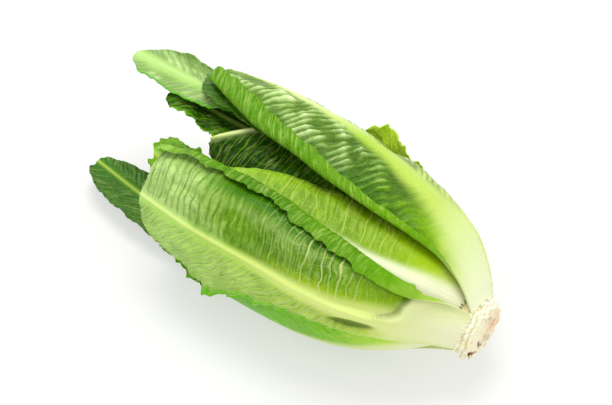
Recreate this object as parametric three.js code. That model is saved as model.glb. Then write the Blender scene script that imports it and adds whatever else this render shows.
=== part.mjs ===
// A romaine heart lying on its side: a cut stem with whole leaves wrapped round it in layers.
// Millimetres, +Z up. The stem's cut face looks along +X and the leaf tips point along -X.
// The origin is under the middle of the heart, on the surface that it lies on.
import * as THREE from 'three';

const { clamp, degToRad, smoothstep } = THREE.MathUtils;

// The rounded body that the outermost leaves lie on, at distances from the cut face.
const BODY = {
  from: [0, 6, 13, 23, 35, 52, 70, 95, 150, 190, 225, 265],
  halfWidth: [16.3, 18, 25, 34, 43, 51, 56.5, 60.5, 62, 60, 55, 46],
  halfHeight: [15.2, 16.5, 21, 27, 34, 40, 43.5, 45, 46, 45, 41, 33],
  centreSide: [0, 0.5, 2, 3, 3, 2, 1, 0, 0, 0, 0, 0],
  centreHeight: [33, 34.7, 38, 41, 43, 44, 44.5, 45, 45, 45, 44.5, 44],
};
const PRESSED = 1;              // how far the lowest leaf is pressed flat by the heart's weight
const CUT_FACE_X = 130;
const BLADE = 1.3;              // thickness of a blade

// A leaf's lists give its values at these shares of its length, root first.
const PLACES = [0, 0.12, 0.3, 0.55, 0.8, 1];

// The stem swells behind its cut face and then narrows inside the leaf roots, which stand round it in rings.
const STEM = {
  from: [0, 2.5, 4.6, 5.6, 9, 13, 21, 30, 37, 42],
  lift: [-1.4, -0.6, -1.6, -4.8, -6.2, -10.2, -17.6, -25, -30, -33],
};

// A smooth curve through values that stand at the given places.
function through(places, values, x) {
  const last = places.length - 1;
  let i = 0;
  while (i < last - 1 && x > places[i + 1]) i++;
  const slope = (k) => {
    const a = Math.max(k - 1, 0);
    const b = Math.min(k + 1, last);
    return (values[b] - values[a]) / (places[b] - places[a]);
  };
  const span = places[i + 1] - places[i];
  const t = clamp((x - places[i]) / span, 0, 1);
  const rise = values[i + 1] - values[i];
  const easeIn = t * (1 - t) * (1 - t) * (slope(i) * span);
  const easeOut = t * t * (t - 1) * (slope(i + 1) * span);
  return values[i] + rise * t * t * (3 - 2 * t) + easeIn + easeOut;
}

// A straight-line graph through [place, value] pairs.
function graph(pairs, x) {
  let i = 0;
  while (i < pairs.length - 2 && x > pairs[i + 1][0]) i++;
  const [[x0, y0], [x1, y1]] = [pairs[i], pairs[i + 1]];
  return y0 + (y1 - y0) * clamp((x - x0) / (x1 - x0), 0, 1);
}

// Three waves of unlike length, which make an even ripple look grown.
const ripple = (x, seed) =>
  (Math.sin(x + seed) + 0.6 * Math.sin(1.73 * x + 2.1 * seed) + 0.4 * Math.sin(2.9 * x + 4.7 * seed)) / 2;

// A point given by its distance from the cut face, its angle round the heart and its lift off the body.
// Angle 0 is the front, 90 the top and -90 the side that lies down.
function onBody(from, angle, lift) {
  const turn = degToRad(angle);
  const halfWidth = through(BODY.from, BODY.halfWidth, from) + lift;
  const halfHeight = through(BODY.from, BODY.halfHeight, from) + lift;
  const height = through(BODY.from, BODY.centreHeight, from) - PRESSED;
  return new THREE.Vector3(
    CUT_FACE_X - from,
    through(BODY.from, BODY.centreSide, from) - halfWidth * Math.cos(turn),
    height + halfHeight * Math.sin(turn),
  );
}

// One half of a leaf's cross-section: how far along and how far off the body each column lies.
function crossSection(side, u, columns) {
  const half = through(PLACES, side.half, u);
  const bend = through(PLACES, side.bend, u);
  const section = [{ share: 0, along: 0, off: 0 }];
  const steps = 5;
  let along = 0;
  let off = 0;
  for (let k = 1; k < columns.length; k++) {
    const stride = (columns[k] - columns[k - 1]) / steps;
    for (let j = 0; j < steps; j++) {
      const share = columns[k - 1] + stride * (j + 0.5);
      const slope = degToRad(graph(side.slope, share) * bend);
      along += stride * half * Math.cos(slope);
      off += stride * half * Math.sin(slope);
    }
    section.push({ share: columns[k], along, off });
  }
  return section;
}

// The rows of a leaf, as shares of its length: even ones, and closer ones where it is creased.
function rowPlaces(leaf) {
  const even = Array.from({ length: leaf.rows + 1 }, (_, r) => r / leaf.rows);
  return [...even, ...leaf.creases].sort((a, b) => a - b);
}

// The middle surface of a leaf: rows from root to tip, each from the low margin to the high one.
function leafSheet(leaf) {
  return rowPlaces(leaf).map((u) => {
    const turn = through(PLACES, leaf.turn, u);
    const lift = through(PLACES, leaf.lift, u);
    const low = crossSection(leaf.low, u, leaf.columns).map((p) => ({ ...p, sign: -1, side: leaf.low }));
    const high = crossSection(leaf.high, u, leaf.columns).map((p) => ({ ...p, sign: 1, side: leaf.high }));
    return [...low.slice(1).reverse(), ...high].map(({ share, along, off, sign, side }) => {
      const end = leaf.tip - side.drop * share ** 2.5;
      const lean = leaf.lean * share * 4 * u * (1 - u);
      const ragged = leaf.wave * smoothstep(u, 0.8, 1) * ripple(share * 7 * sign, leaf.seed);
      const from = leaf.root + (end - leaf.root) * u + lean + ragged;
      const width = through(BODY.from, BODY.halfWidth, from);
      const height = through(BODY.from, BODY.halfHeight, from);
      const radius = Math.max((width + height) / 2 + lift + off, 8);
      const edge = smoothstep(share, 0.5, 1) * smoothstep(u, 0.15, 0.45);
      const wave = leaf.wave * edge * ripple(from / 7, leaf.seed + sign);
      const [middle, rootReach, tipReach, rise] = side.flare;
      const reach = from < middle ? rootReach : tipReach;
      const flare = rise * share ** 3 * Math.exp(-(((from - middle) / reach) ** 2));
      const angle = turn + (sign * along * 180) / (Math.PI * radius);
      return { from, angle, lift: lift + off + wave + flare, u };
    });
  });
}

// The midrib: wide and thick at the root, thin at the tip, raised mostly inwards near the root.
function ribThickness(leaf, u, distance) {
  const width = through(PLACES, leaf.ribWidth, u);
  const height = through(PLACES, leaf.ribHeight, u);
  return height * Math.exp(-((distance / width) ** 2));
}

// A closed blade: the sheet thickened to both sides, with the same triangles on both faces.
function leafGeometry(leaf) {
  const sheet = leafSheet(leaf);
  const points = sheet.map((row) => row.map((p) => onBody(p.from, p.angle, p.lift)));
  const rows = points.length;
  const columns = points[0].length;
  const middle = (columns - 1) / 2;
  if (leaf.pressed) {
    points.flat().forEach((p) => { p.z = Math.max(p.z, BLADE / 2); });
  }
  const at = (r, c) => points[clamp(r, 0, rows - 1)][clamp(c, 0, columns - 1)];
  const outer = [];
  const inner = [];
  for (let r = 0; r < rows; r++) {
    for (let c = 0; c < columns; c++) {
      const tipwards = at(r + 1, c).clone().sub(at(r - 1, c));
      const across = at(r, c + 1).clone().sub(at(r, c - 1));
      const normal = across.cross(tipwards).normalize();
      const distance = points[r][c].distanceTo(points[r][middle]);
      const rib = ribThickness(leaf, sheet[r][c].u, distance);
      outer.push(points[r][c].clone().addScaledVector(normal, BLADE / 2 + rib * 0.4));
      inner.push(points[r][c].clone().addScaledVector(normal, -BLADE / 2 - rib * 0.6));
    }
  }
  if (leaf.pressed) {
    outer.forEach((p) => { p.z = Math.max(p.z, 0); });
  }
  const vertices = [...outer, ...inner];
  const index = (r, c, face) => face * rows * columns + r * columns + c;
  const faces = [];
  const quad = (a, b, c, d) => faces.push(a, b, c, a, c, d);
  for (let r = 0; r < rows - 1; r++) {
    for (let c = 0; c < columns - 1; c++) {
      const corners = [[r, c], [r, c + 1], [r + 1, c + 1], [r + 1, c]];
      const [a, b, d, e] = corners.map(([i, j]) => index(i, j, 0));
      const [f, g, h, k] = corners.map(([i, j]) => index(i, j, 1));
      quad(a, b, d, e);
      faces.push(f, h, g, f, k, h);
    }
  }
  const rim = [];
  for (let c = 0; c < columns - 1; c++) rim.push([0, c]);
  for (let r = 0; r < rows - 1; r++) rim.push([r, columns - 1]);
  for (let c = columns - 1; c > 0; c--) rim.push([rows - 1, c]);
  for (let r = rows - 1; r > 0; r--) rim.push([r, 0]);
  rim.forEach(([r, c], i) => {
    const [nr, nc] = rim[(i + 1) % rim.length];
    quad(index(r, c, 1), index(nr, nc, 1), index(nr, nc, 0), index(r, c, 0));
  });
  const geometry = new THREE.BufferGeometry();
  const numbers = vertices.flatMap((p) => p.toArray());
  geometry.setAttribute('position', new THREE.Float32BufferAttribute(numbers, 3));
  geometry.setIndex(faces);
  geometry.computeVertexNormals();
  return geometry;
}

// Columns stand closer where a margin folds.
const FOLDED = [0, 0.13, 0.3, 0.46, 0.58, 0.68, 0.76, 0.83, 0.9, 1];
const OPEN = [0, 0.2, 0.45, 0.72, 1];
const PLAIN = [0, 0.45, 1];

const FLAT = [[0, 0], [1, 0]];
const FULL = [1, 1, 1, 1, 1, 1];

// One half of a leaf: its width from root to tip, how far its corner stands back from the tip,
// the slopes across it in degrees, how strongly they show from root to tip, and a flared spot
// given by its place, its reach to the root and to the tip, and its rise.
const side = (half, drop, slope = FLAT, bend = FULL, flare = [0, 1, 1, 0]) =>
  ({ half, drop, slope, bend, flare });

// What a leaf has unless its own entry says otherwise.
const LEAF = {
  root: 6,
  lean: 10,
  wave: 1.2,
  rows: 14,
  creases: [],
  columns: OPEN,
  ribWidth: [13, 13, 9, 6, 3.5, 2],
  ribHeight: [2.8, 3.6, 2.8, 1.8, 1, 0.2],
};
const SECOND = { ribHeight: [2, 2.6, 2.2, 1.6, 0.9, 0.2] };
const INNER = {
  lean: 6,
  wave: 0.5,
  rows: 9,
  columns: PLAIN,
  ribWidth: [8, 9, 7, 5, 3, 2],
  ribHeight: [1.6, 2, 1.8, 1.2, 0.6, 0.1],
};

const LEAVES = {
  leaf_front: {
    tip: 198, seed: 1, rows: 24, creases: [0.146, 0.156], columns: FOLDED,
    turn: [20, 18, 21.5, 26, 26, 26],
    lift: [-2, -1.2, 0, 0, 0, -2],
    low: side([13, 13, 18, 28, 50.5, 36], 28, [[0, 0], [0.5, 0], [0.85, 12], [1, 60]], [0, 0, 0, 0.5, 1, 1]),
    high: side([13, 31, 48, 55, 53, 41], -4,
      [[0, 8], [0.4, 8], [0.52, -8], [0.62, -55], [0.68, -30], [0.76, 50], [0.84, 150], [1, 178]],
      [0, 0.75, 0.95, 1, 1, 0.8]),
  },
  leaf_upper: {
    tip: 211, seed: 2.2, rows: 24, columns: FOLDED,
    turn: [112, 104, 108, 122, 134, 148],
    lift: [-2, -1, 1, 2.5, 3, 1],
    low: side([11, 15, 27, 40, 44, 35], 0,
      [[0, 0], [0.3, -12], [0.48, -25], [0.62, -5], [0.72, 60], [0.82, 150], [1, 176]],
      [0, 0.7, 0.95, 1, 1, 0.9]),
    high: side([12, 28, 35, 25, 26.5, 13], 32),
  },
  leaf_back: {
    tip: 214, seed: 3.4, rows: 16, creases: [0.41, 0.47, 0.53, 0.59],
    turn: [194, 192, 190, 187, 186, 186],
    lift: [-2, -1.2, -1, -2, -2, -2],
    low: side([9, 17, 27, 27, 32, 12], 30, FLAT, FULL, [113, 20, 9, 19]),
    high: side([9, 22, 38, 42, 36, 13], 30),
  },
  leaf_bottom: {
    tip: 265, seed: 4.1, rows: 18, pressed: true,
    turn: [281, 283, 286, 287, 287, 288],
    lift: [-2, -1.2, 0, 0, 0, 0],
    low: side([12, 22, 34, 35, 20, 11], 11),
    high: side([12, 18, 22, 22, 25, 16], 11),
  },
  leaf_low_front: {
    ...SECOND, root: 14, tip: 178, seed: 5.3,
    turn: [326, 326, 326, 326, 326, 328],
    lift: [-6, -3, 0.2, 1.4, 0.9, -3],
    low: side([6, 15, 27, 28, 27, 16], 22, [[0, -8], [0.3, -16], [1, -12]]),
    high: side([6, 12, 28, 38, 36, 20], 26, [[0, -6], [0.4, -12], [1, -3]]),
  },
  leaf_middle: {
    ...SECOND, root: 14, tip: 172, seed: 6.1,
    turn: [72, 68, 68, 71, 63, 56],
    lift: [-7.6, -7.4, -8, -9, -9.5, -10.3],
    low: side([6, 14, 24, 32, 32, 20], 16),
    high: side([6, 13, 19, 18, 17, 12], 12,
      [[0, 3], [0.5, -5], [0.8, -30], [1, -50]], [0, 0.3, 0.6, 1, 1, 1]),
  },
  leaf_tucked: {
    ...SECOND, root: 15, tip: 219, seed: 7.7,
    turn: [135, 135, 135, 136, 136, 140],
    lift: [-8.5, -7.5, -6.5, -6.5, -6.5, -4],
    low: side([6, 12, 20, 24, 27, 26], 16, [[0, 0], [1, -8]]),
    high: side([6, 17, 34, 36, 32, 16], 26),
  },
  leaf_lower_back: {
    ...SECOND, root: 14, tip: 196, seed: 8.2,
    turn: [237, 237, 237, 237, 236, 236],
    lift: [-7.6, -7, -5.4, -5, -5, -7],
    low: side([6, 17, 34, 38, 32, 16], 24),
    high: side([6, 16, 28, 30, 26, 14], 24),
  },
  leaf_long: {
    ...SECOND, root: 22, tip: 259, seed: 9.5, rows: 16,
    turn: [140, 140, 140, 138, 122, 114],
    lift: [-15.5, -14.5, -12.5, -11.5, -8, 4],
    low: side([5, 8, 8, 6, 13, 11], 12, [[0, 0], [0.3, -20], [1, -40]], [0, 0.2, 0.3, 0.4, 0.8, 1]),
    high: side([5, 12, 24, 30, 34, 24], 26),
  },
  leaf_hooded: {
    ...SECOND, root: 22, tip: 184, seed: 10.4,
    turn: [98, 101, 108, 116, 118, 86],
    lift: [-15.5, -14.8, -14, -11.5, -9.8, -14.5],
    low: side([5, 12, 22, 33, 36, 10], 2, [[0, -5], [0.3, -16], [1, -26]], [0, 0.6, 1, 1, 1, 1]),
    high: side([5, 8, 7, 6, 6, 5], 6, [[0, -10], [0.3, -45], [1, -60]], [0, 0.6, 1, 1, 1, 1]),
  },
  leaf_ragged: {
    ...SECOND, root: 22, tip: 209, seed: 11.3, wave: 2,
    turn: [30, 30, 34, 38, 44, 54],
    lift: [-15.5, -14.5, -14, -14.2, -14.6, -9],
    low: side([5, 10, 15, 28, 28, 14], 14),
    high: side([5, 12, 20, 22, 20, 14], 8),
  },
  leaf_crinkled: {
    ...SECOND, root: 30, tip: 229, seed: 12.8, wave: 2,
    turn: [150, 150, 145, 138, 126, 114],
    lift: [-23, -22, -23, -26, -23, -12],
    low: side([5, 11, 18, 18, 19, 15], 12),
    high: side([5, 11, 18, 22, 24, 18], 12),
  },
  leaf_inner_back: {
    ...INNER, root: 22, tip: 206, seed: 13.1,
    turn: [196, 196, 194, 192, 190, 188],
    lift: [-15.5, -14.5, -10.5, -9.5, -9.5, -9.5],
    low: side([5, 11, 14, 12, 10, 8], 14),
    high: side([5, 11, 24, 30, 28, 18], 16),
  },
  leaf_inner_bottom: {
    ...INNER, root: 22, tip: 198, seed: 14.6,
    turn: [276, 276, 276, 276, 276, 276],
    lift: [-15.5, -14.5, -10.5, -9.5, -9.5, -9.5],
    low: side([5, 11, 24, 30, 28, 18], 16),
    high: side([5, 11, 24, 30, 28, 18], 16),
  },
  leaf_inner_front: {
    ...INNER, root: 22, tip: 184, seed: 15.2,
    turn: [346, 346, 346, 346, 346, 346],
    lift: [-15.5, -14.5, -11, -9, -8.5, -8.5],
    low: side([5, 11, 18, 21, 21, 15], 14),
    high: side([5, 11, 14, 18, 20, 16], 14),
  },
  leaf_deep_back: {
    ...INNER, root: 30, tip: 196, seed: 16.9,
    turn: [222, 222, 222, 222, 222, 222],
    lift: [-23, -22, -17, -14.5, -14, -14],
    low: side([5, 10, 20, 26, 26, 16], 16),
    high: side([5, 10, 20, 26, 26, 16], 16),
  },
  leaf_deep_front: {
    ...INNER, root: 30, tip: 190, seed: 17.3,
    turn: [312, 312, 312, 314, 316, 318],
    lift: [-23, -22, -17, -14.5, -14, -14],
    low: side([5, 10, 20, 26, 26, 16], 16),
    high: side([5, 10, 20, 26, 26, 16], 16),
  },
  leaf_deep_top: {
    ...INNER, root: 30, tip: 186, seed: 18.4,
    turn: [48, 48, 46, 44, 44, 46],
    lift: [-23, -23, -26, -28, -27, -25],
    low: side([5, 10, 20, 22, 20, 12], 16),
    high: side([5, 8, 9, 9, 8, 6], 10),
  },
};

const LEAF_COLOUR = new THREE.Color(0.32, 0.55, 0.12);
const STEM_COLOUR = new THREE.Color(0.82, 0.84, 0.62);

const heart = new THREE.Group();
heart.name = 'romaine_heart';

function addPiece(name, geometry, colour, roughness) {
  const material = new THREE.MeshStandardMaterial({ color: colour, roughness, metalness: 0 });
  const piece = new THREE.Mesh(geometry, material);
  piece.name = name;
  heart.add(piece);
}

for (const [name, leaf] of Object.entries(LEAVES)) {
  addPiece(name, leafGeometry({ ...LEAF, ...leaf }), LEAF_COLOUR, 0.45);
}

// The stem is a stack of rings between two points on its axis.
function stemGeometry(around) {
  const rings = STEM.from.map((from, i) => Array.from({ length: around }, (_, k) => (
    onBody(from, (k * 360) / around, STEM.lift[i])
  )));
  const middleOf = (ring) => ring.reduce((sum, p) => sum.add(p), new THREE.Vector3()).divideScalar(around);
  const start = middleOf(rings[0]);
  const end = middleOf(rings.at(-1));
  const vertices = [...rings.flat(), start, end];
  const faces = [];
  for (let k = 0; k < around; k++) {
    const next = (k + 1) % around;
    for (let i = 0; i < rings.length - 1; i++) {
      const [a, b] = [i * around + k, i * around + next];
      faces.push(a, b, b + around, a, b + around, a + around);
    }
    const last = (rings.length - 1) * around;
    faces.push(k, rings.length * around, next, last + k, last + next, rings.length * around + 1);
  }
  const geometry = new THREE.BufferGeometry();
  const numbers = vertices.flatMap((p) => p.toArray());
  geometry.setAttribute('position', new THREE.Float32BufferAttribute(numbers, 3));
  geometry.setIndex(faces);
  geometry.computeVertexNormals();
  return geometry;
}
addPiece('stem', stemGeometry(28), STEM_COLOUR, 0.6);

// The origin goes under the middle of the heart.
const middle = new THREE.Box3().setFromObject(heart).getCenter(new THREE.Vector3());
heart.position.set(-middle.x, -middle.y, 0);

export default heart;
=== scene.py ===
"""A romaine heart lying on a pale floor: a cut butt and eighteen leaves wrapped round it in layers."""

import math

import bpy
import numpy as np
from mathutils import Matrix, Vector


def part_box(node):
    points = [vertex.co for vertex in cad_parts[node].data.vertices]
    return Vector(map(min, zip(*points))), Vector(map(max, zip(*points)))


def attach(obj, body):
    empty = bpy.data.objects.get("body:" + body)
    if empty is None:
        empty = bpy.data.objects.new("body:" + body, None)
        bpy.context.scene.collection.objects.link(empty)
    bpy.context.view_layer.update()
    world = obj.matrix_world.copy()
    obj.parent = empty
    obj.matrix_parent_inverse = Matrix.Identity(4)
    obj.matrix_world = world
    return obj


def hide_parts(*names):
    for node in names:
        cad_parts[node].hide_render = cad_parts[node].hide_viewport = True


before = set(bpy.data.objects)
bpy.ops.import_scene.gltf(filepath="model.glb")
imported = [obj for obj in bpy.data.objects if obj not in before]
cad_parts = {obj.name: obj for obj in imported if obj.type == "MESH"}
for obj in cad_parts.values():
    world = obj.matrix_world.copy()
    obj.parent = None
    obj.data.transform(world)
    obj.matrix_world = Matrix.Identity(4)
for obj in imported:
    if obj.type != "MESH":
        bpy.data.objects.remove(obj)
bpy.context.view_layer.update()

MM = 1000  # millimetres in a metre

# The rounded body that the outermost leaves lie on, in millimetres from the cut face: half its width and
# height, and where the middle of each section lies.
BODY = {
    "from": [0, 6, 13, 23, 35, 52, 70, 95, 150, 190, 225, 265],
    "half_width": [16.3, 18, 25, 34, 43, 51, 56.5, 60.5, 62, 60, 55, 46],
    "half_height": [15.2, 16.5, 21, 27, 34, 40, 43.5, 45, 46, 45, 41, 33],
    "centre_side": [0, 0.5, 2, 3, 3, 2, 1, 0, 0, 0, 0, 0],
    "centre_height": [33, 34.7, 38, 41, 43, 44, 44.5, 45, 45, 45, 44.5, 44],
}
PRESSED = 1.0  # how far the body is let down on the surface
# The places along a leaf, as shares of its length from root to tip, that its measures are given for.
PLACES = [0, 0.12, 0.3, 0.55, 0.8, 1]
WIDEST = 4  # of PLACES, the one where most leaves are widest
# The stem's outline: distances from the cut face, and how far inside the body it lies there.
STEM_FROM = [0, 2.5, 4.6, 5.6, 9, 13, 21, 30, 37, 42]
STEM_LIFT = [-1.4, -0.6, -1.6, -4.8, -6.2, -10.2, -17.6, -25, -30, -33]
STEM_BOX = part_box("stem")
CUT_FACE_X = STEM_BOX[1].x * MM


def smooth(a, b, x):
    """Rises smoothly from 0 at a to 1 at b, or falls where b is below a."""
    t = np.clip((x - a) / (b - a), 0, 1)
    return t * t * (3 - 2 * t)


def through(places, values, x):
    """A smooth curve through values that stand at the given places."""
    p, v = np.asarray(places, float), np.asarray(values, float)
    last = len(p) - 1
    x = np.asarray(x, float)
    i = np.clip(np.searchsorted(p, x, side="left") - 1, 0, last - 1)
    before, after = np.clip(np.arange(last + 1) - 1, 0, last), np.clip(np.arange(last + 1) + 1, 0, last)
    slope = (v[after] - v[before]) / (p[after] - p[before])
    span = p[i + 1] - p[i]
    t = np.clip((x - p[i]) / span, 0, 1)
    ease_in = t * (1 - t) ** 2 * slope[i] * span
    ease_out = t * t * (t - 1) * slope[i + 1] * span
    return v[i] + (v[i + 1] - v[i]) * t * t * (3 - 2 * t) + ease_in + ease_out


STEM_REACH = through(BODY["from"], BODY["half_width"], STEM_FROM) + STEM_LIFT
STEM_SIDE = through(BODY["from"], BODY["centre_side"], STEM_FROM)
FACE_SIDE = STEM_BOX[0].y * MM - min(STEM_SIDE - STEM_REACH)
FACE_HEIGHT = BODY["centre_height"][0] - PRESSED


def ripple(x, seed):
    """An uneven wave from about -1 to 1."""
    return (np.sin(x + seed) + 0.6 * np.sin(1.73 * x + 2.1 * seed) + 0.4 * np.sin(2.9 * x + 4.7 * seed)) / 2


LATTICE = np.random.RandomState(7).rand(256, 256)


def noise(x, y, seed=0.0):
    """Smooth noise from -1 to 1 with one hill or hollow for each unit."""
    x, y = x + 17.3 * seed, y + 9.1 * seed
    i, j = np.floor(x).astype(int), np.floor(y).astype(int)
    a, b = smooth(0, 1, x - i), smooth(0, 1, y - j)

    def corner(di, dj):
        return LATTICE[(i + di) % 256, (j + dj) % 256]

    low = corner(0, 0) * (1 - a) + corner(1, 0) * a
    high = corner(0, 1) * (1 - a) + corner(1, 1) * a
    return 2 * (low * (1 - b) + high * b) - 1


def on_body(dist, angle, lift):
    """A point at a distance from the cut face, an angle round the heart and a lift off its body."""
    turn = np.radians(angle)
    half_width = through(BODY["from"], BODY["half_width"], dist) + lift
    half_height = through(BODY["from"], BODY["half_height"], dist) + lift
    height = through(BODY["from"], BODY["centre_height"], dist) - PRESSED
    side = through(BODY["from"], BODY["centre_side"], dist)
    return np.stack([
        CUT_FACE_X - dist,
        FACE_SIDE + side - half_width * np.cos(turn),
        height + half_height * np.sin(turn),
    ], -1)


FLAT = [[0, 0], [1, 0]]
FULL = [1, 1, 1, 1, 1, 1]


def side(half, drop, slope=FLAT, bend=FULL, flare=(0, 1, 1, 0)):
    """One side of a leaf: its half widths, how far its corner at the tip draws back, how it slopes off the
    body from midrib to margin and how much of that slope each place has, and a flare of its margin (where,
    how far on either side, and how high)."""
    return {"half": half, "drop": drop, "slope": slope, "bend": bend, "flare": flare}


# The leaves: root and tip in millimetres from the cut face, the way round the heart in degrees, the lift off
# the body, and the two sides. "grid" is the size of a face. A pressed leaf lies flat on the surface.
LEAF = {
    "root": 6, "lean": 10, "wave": 1.2, "grid": 1.1, "pressed": False,
    "rib_width": [13, 13, 9, 6, 3.5, 2], "rib_height": [2.8, 3.6, 2.8, 1.8, 1, 0.2],
}
SECOND = {"rib_height": [2, 2.6, 2.2, 1.6, 0.9, 0.2]}
INNER = {
    "lean": 6, "wave": 0.5, "grid": 2.4, "rib_width": [8, 9, 7, 5, 3, 2],
    "rib_height": [1.6, 2, 1.8, 1.2, 0.6, 0.1],
}
LEAVES = {
    "leaf_front": {
        "tip": 198, "seed": 1, "grid": 0.8,
        "turn": [20, 18, 21.5, 26, 26, 26], "lift": [-2, -1.2, 0, 0, 0, -2],
        "low": side([13, 13, 18, 28, 50.5, 36], 28,
                    [[0, 0], [0.5, 0], [0.85, 12], [1, 60]], [0, 0, 0, 0.5, 1, 1]),
        "high": side([13, 31, 48, 55, 53, 41], -4,
                     [[0, 8], [0.4, 8], [0.52, -8], [0.62, -55], [0.68, -30], [0.76, 50], [0.84, 150],
                      [1, 178]],
                     [0, 0.75, 0.95, 1, 1, 0.8]),
    },
    "leaf_upper": {
        "tip": 211, "seed": 2.2, "grid": 0.8,
        "turn": [112, 104, 108, 122, 134, 148], "lift": [-2, -1, 1, 2.5, 3, 1],
        "low": side([11, 15, 27, 40, 44, 35], 0,
                    [[0, 0], [0.3, -12], [0.48, -25], [0.62, -5], [0.72, 60], [0.82, 150], [1, 176]],
                    [0, 0.7, 0.95, 1, 1, 0.9]),
        "high": side([12, 28, 35, 25, 26.5, 13], 32),
    },
    "leaf_back": {
        "tip": 214, "seed": 3.4, "grid": 1.1,
        "turn": [194, 192, 190, 187, 186, 186], "lift": [-2, -1.2, -1, -2, -2, -2],
        "low": side([9, 17, 27, 27, 32, 12], 30, FLAT, FULL, (113, 20, 9, 19)),
        "high": side([9, 22, 38, 42, 36, 13], 30),
    },
    "leaf_bottom": {
        "tip": 265, "seed": 4.1, "pressed": True,
        "turn": [281, 283, 286, 287, 287, 288], "lift": [-2, -1.2, 0, 0, 0, 0],
        "low": side([12, 22, 34, 35, 20, 11], 11), "high": side([12, 18, 22, 22, 25, 16], 11),
    },
    "leaf_low_front": {
        **SECOND, "root": 14, "tip": 178, "seed": 5.3,
        "turn": [326, 326, 326, 326, 326, 328], "lift": [-6, -3, 0.2, 1.4, 0.9, -3],
        "low": side([6, 15, 27, 28, 27, 16], 22, [[0, -8], [0.3, -16], [1, -12]]),
        "high": side([6, 12, 28, 38, 36, 20], 26, [[0, -6], [0.4, -12], [1, -3]]),
    },
    "leaf_middle": {
        **SECOND, "root": 14, "tip": 172, "seed": 6.1, "grid": 0.9,
        "turn": [72, 68, 68, 71, 63, 56], "lift": [-7.6, -7.4, -8, -9, -9.5, -10.3],
        "low": side([6, 14, 24, 32, 32, 20], 16),
        "high": side([6, 13, 19, 18, 17, 12], 12,
                     [[0, 3], [0.5, -5], [0.8, -30], [1, -50]], [0, 0.3, 0.6, 1, 1, 1]),
    },
    "leaf_tucked": {
        **SECOND, "root": 15, "tip": 219, "seed": 7.7,
        "turn": [135, 135, 135, 136, 136, 140], "lift": [-8.5, -7.5, -6.5, -6.5, -6.5, -4],
        "low": side([6, 12, 20, 24, 27, 26], 16, [[0, 0], [1, -8]]),
        "high": side([6, 17, 34, 36, 32, 16], 26),
    },
    "leaf_lower_back": {
        **SECOND, "root": 14, "tip": 196, "seed": 8.2,
        "turn": [237, 237, 237, 237, 236, 236], "lift": [-7.6, -7, -5.4, -5, -5, -7],
        "low": side([6, 17, 34, 38, 32, 16], 24), "high": side([6, 16, 28, 30, 26, 14], 24),
    },
    "leaf_long": {
        **SECOND, "root": 22, "tip": 259, "seed": 9.5,
        "turn": [140, 140, 140, 138, 122, 114], "lift": [-15.5, -14.5, -12.5, -11.5, -8, 4],
        "low": side([5, 8, 8, 6, 13, 11], 12, [[0, 0], [0.3, -20], [1, -40]], [0, 0.2, 0.3, 0.4, 0.8, 1]),
        "high": side([5, 12, 24, 30, 34, 24], 26),
    },
    "leaf_hooded": {
        **SECOND, "root": 22, "tip": 184, "seed": 10.4, "grid": 0.9,
        "turn": [98, 101, 108, 116, 118, 86], "lift": [-15.5, -14.8, -14, -11.5, -9.8, -14.5],
        "low": side([5, 12, 22, 33, 36, 10], 2, [[0, -5], [0.3, -16], [1, -26]], [0, 0.6, 1, 1, 1, 1]),
        "high": side([5, 8, 7, 6, 6, 5], 6, [[0, -10], [0.3, -45], [1, -60]], [0, 0.6, 1, 1, 1, 1]),
    },
    "leaf_ragged": {
        **SECOND, "root": 22, "tip": 209, "seed": 11.3, "wave": 2,
        "turn": [30, 30, 34, 38, 44, 54], "lift": [-15.5, -14.5, -14, -14.2, -14.6, -9],
        "low": side([5, 10, 15, 28, 28, 14], 14), "high": side([5, 12, 20, 22, 20, 14], 8),
    },
    "leaf_crinkled": {
        **SECOND, "root": 30, "tip": 229, "seed": 12.8, "wave": 2,
        "turn": [150, 150, 145, 138, 126, 114], "lift": [-23, -22, -23, -26, -23, -12],
        "low": side([5, 11, 18, 18, 19, 15], 12), "high": side([5, 11, 18, 22, 24, 18], 12),
    },
    "leaf_inner_back": {
        **INNER, "root": 22, "tip": 206, "seed": 13.1,
        "turn": [196, 196, 194, 192, 190, 188], "lift": [-15.5, -14.5, -10.5, -9.5, -9.5, -9.5],
        "low": side([5, 11, 14, 12, 10, 8], 14), "high": side([5, 11, 24, 30, 28, 18], 16),
    },
    "leaf_inner_bottom": {
        **INNER, "root": 22, "tip": 198, "seed": 14.6,
        "turn": [276] * 6, "lift": [-15.5, -14.5, -10.5, -9.5, -9.5, -9.5],
        "low": side([5, 11, 24, 30, 28, 18], 16), "high": side([5, 11, 24, 30, 28, 18], 16),
    },
    "leaf_inner_front": {
        **INNER, "root": 22, "tip": 184, "seed": 15.2,
        "turn": [346] * 6, "lift": [-15.5, -14.5, -11, -9, -8.5, -8.5],
        "low": side([5, 11, 18, 21, 21, 15], 14), "high": side([5, 11, 14, 18, 20, 16], 14),
    },
    "leaf_deep_back": {
        **INNER, "root": 30, "tip": 196, "seed": 16.9,
        "turn": [222] * 6, "lift": [-23, -22, -17, -14.5, -14, -14],
        "low": side([5, 10, 20, 26, 26, 16], 16), "high": side([5, 10, 20, 26, 26, 16], 16),
    },
    "leaf_deep_front": {
        **INNER, "root": 30, "tip": 190, "seed": 17.3,
        "turn": [312, 312, 312, 314, 316, 318], "lift": [-23, -22, -17, -14.5, -14, -14],
        "low": side([5, 10, 20, 26, 26, 16], 16), "high": side([5, 10, 20, 26, 26, 16], 16),
    },
    "leaf_deep_top": {
        **INNER, "root": 30, "tip": 186, "seed": 18.4,
        "turn": [48, 48, 46, 44, 44, 46], "lift": [-23, -23, -26, -28, -27, -25],
        "low": side([5, 10, 20, 22, 20, 12], 16), "high": side([5, 8, 9, 9, 8, 6], 10),
    },
}

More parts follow.
